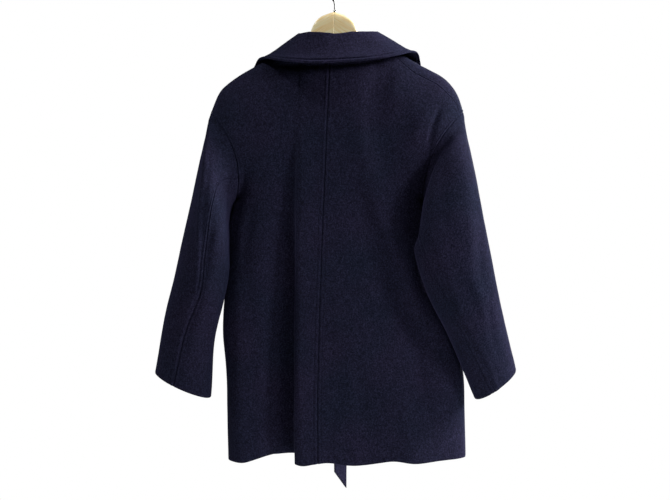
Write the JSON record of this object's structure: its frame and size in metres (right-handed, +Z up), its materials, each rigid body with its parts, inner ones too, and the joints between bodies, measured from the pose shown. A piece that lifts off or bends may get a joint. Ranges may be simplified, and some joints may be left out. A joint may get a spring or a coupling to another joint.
{
  "type": "chesterfield coat on a coat hanger",
  "caption": "Short tie-belted wool chesterfield coat with a turned collar, lapels and two-part sleeves, hanging on a contoured wooden hanger with a wire hook.",
  "frame": {"origin": "inside top of the hanger's hook, where it hangs on a rail", "axes": "+X to the wearer's left, +Y to the back of the coat, +Z up"},
  "size_m": [0.7166, 0.2671, 1.0578],
  "materials": {
    "wool": "brushed navy double-faced wool",
    "button": "dark imitation horn",
    "wood": "clear satin varnish on pale beech",
    "hook": "plated steel wire"
  },
  "bodies": {
    "root": {"back_left": "wool", "back_right": "wool", "front_left": "wool", "front_right": "wool", "sleeve_top_left": "wool", "sleeve_top_right": "wool", "sleeve_under_left": "wool", "sleeve_under_right": "wool", "collar": "wool", "lapel_left": "wool", "lapel_right": "wool", "belt_left": "wool", "belt_right": "wool", "belt_end_long": "wool", "belt_end_short": "wool", "belt_knot": "wool", "button_1": "button", "button_2": "button", "button_3": "button", "hanger_arm_left": "wood", "hanger_arm_right": "wood", "hanger_hook": "hook"}
  },
  "joints": []
}
